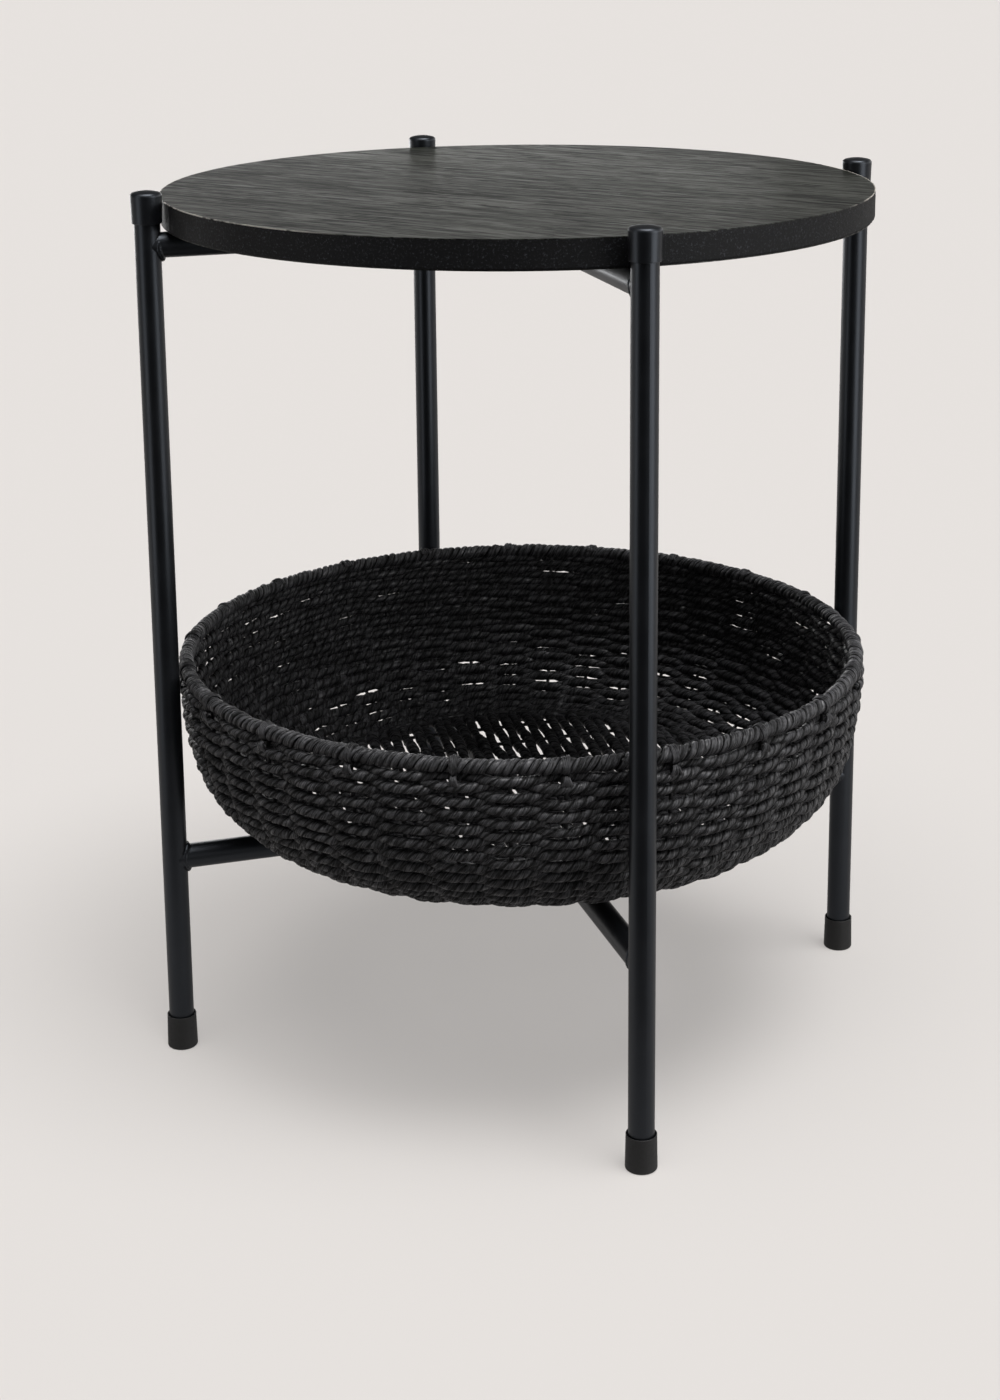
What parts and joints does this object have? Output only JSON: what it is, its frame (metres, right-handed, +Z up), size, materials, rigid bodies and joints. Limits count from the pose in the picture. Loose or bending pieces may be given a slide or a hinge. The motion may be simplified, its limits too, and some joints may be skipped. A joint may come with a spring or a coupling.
{
  "type": "folding side table",
  "caption": "Round side table: four slim capped legs in two crossing welded H-frames, a loose round wooden top, and a woven rope bowl resting on the lower rails.",
  "frame": {"origin": "on the floor, midway between the four feet, on the fold axis", "axes": "+Z up along the fold axis; +X towards the right leg, through the left and right legs; -Y towards the front leg"},
  "size_m": [0.4906, 0.4906, 0.5655],
  "materials": {
    "frame_coating": "satin black powder coat",
    "foot_rubber": "matte black moulding",
    "fastener_steel": "blackened steel",
    "bush_nylon": "matte black nylon",
    "top_veneer": "open-grain black stained veneer",
    "top_edge": "black painted board edge",
    "top_backing": "black stained backing veneer",
    "paper_rope": "black twisted paper rope",
    "paper_wrap": "black paper strand, closely wound",
    "basket_wire": "black coated wire"
  },
  "bodies": {
    "frame_a": {"leg_left": "frame_coating", "cap_left": "frame_coating", "foot_left": "foot_rubber", "weld_upper_left": "frame_coating", "weld_lower_left": "frame_coating", "leg_right": "frame_coating", "cap_right": "frame_coating", "foot_right": "foot_rubber", "weld_upper_right": "frame_coating", "weld_lower_right": "frame_coating", "rail_upper_a": "frame_coating", "rail_lower_a": "frame_coating", "pivot_bolt_upper": "fastener_steel", "pivot_washer_upper": "fastener_steel", "pivot_nut_upper": "fastener_steel", "pivot_bolt_lower": "fastener_steel", "pivot_washer_lower": "fastener_steel", "pivot_nut_lower": "fastener_steel"},
    "frame_b": {"leg_front": "frame_coating", "cap_front": "frame_coating", "foot_front": "foot_rubber", "weld_upper_front": "frame_coating", "weld_lower_front": "frame_coating", "leg_back": "frame_coating", "cap_back": "frame_coating", "foot_back": "foot_rubber", "weld_upper_back": "frame_coating", "weld_lower_back": "frame_coating", "rail_upper_b": "frame_coating", "rail_lower_b": "frame_coating", "pivot_bush_upper": "bush_nylon", "pivot_bush_lower": "bush_nylon"},
    "table_top": {"top_core": "top_edge", "top_veneer": "top_veneer", "top_backing_veneer": "top_backing"},
    "basket": {"basket_wall_upper": "paper_rope", "basket_wall_middle": "paper_rope", "basket_wall_lower": "paper_rope", "basket_base": "paper_rope", "basket_rim_wrap": "paper_wrap", "basket_rim_hoop": "basket_wire", "basket_stakes": "basket_wire", "basket_base_hoop": "basket_wire", "basket_base_wires": "basket_wire"}
  },
  "joints": [
    {"name": "frame_fold", "type": "hinge", "parent": "frame_a", "child": "frame_b", "pos_m": [0, 0, 0.332], "axis": [0, 0, 1], "range_deg": [-65, 65]},
    {"name": "top_lift", "type": "slide", "parent": "frame_a", "child": "table_top", "axis": [0, 0, 1], "range_m": [0, 0.1]},
    {"name": "basket_lift", "type": "slide", "parent": "frame_a", "child": "basket", "axis": [0, 0, 1], "range_m": [0, 0.26]}
  ]
}
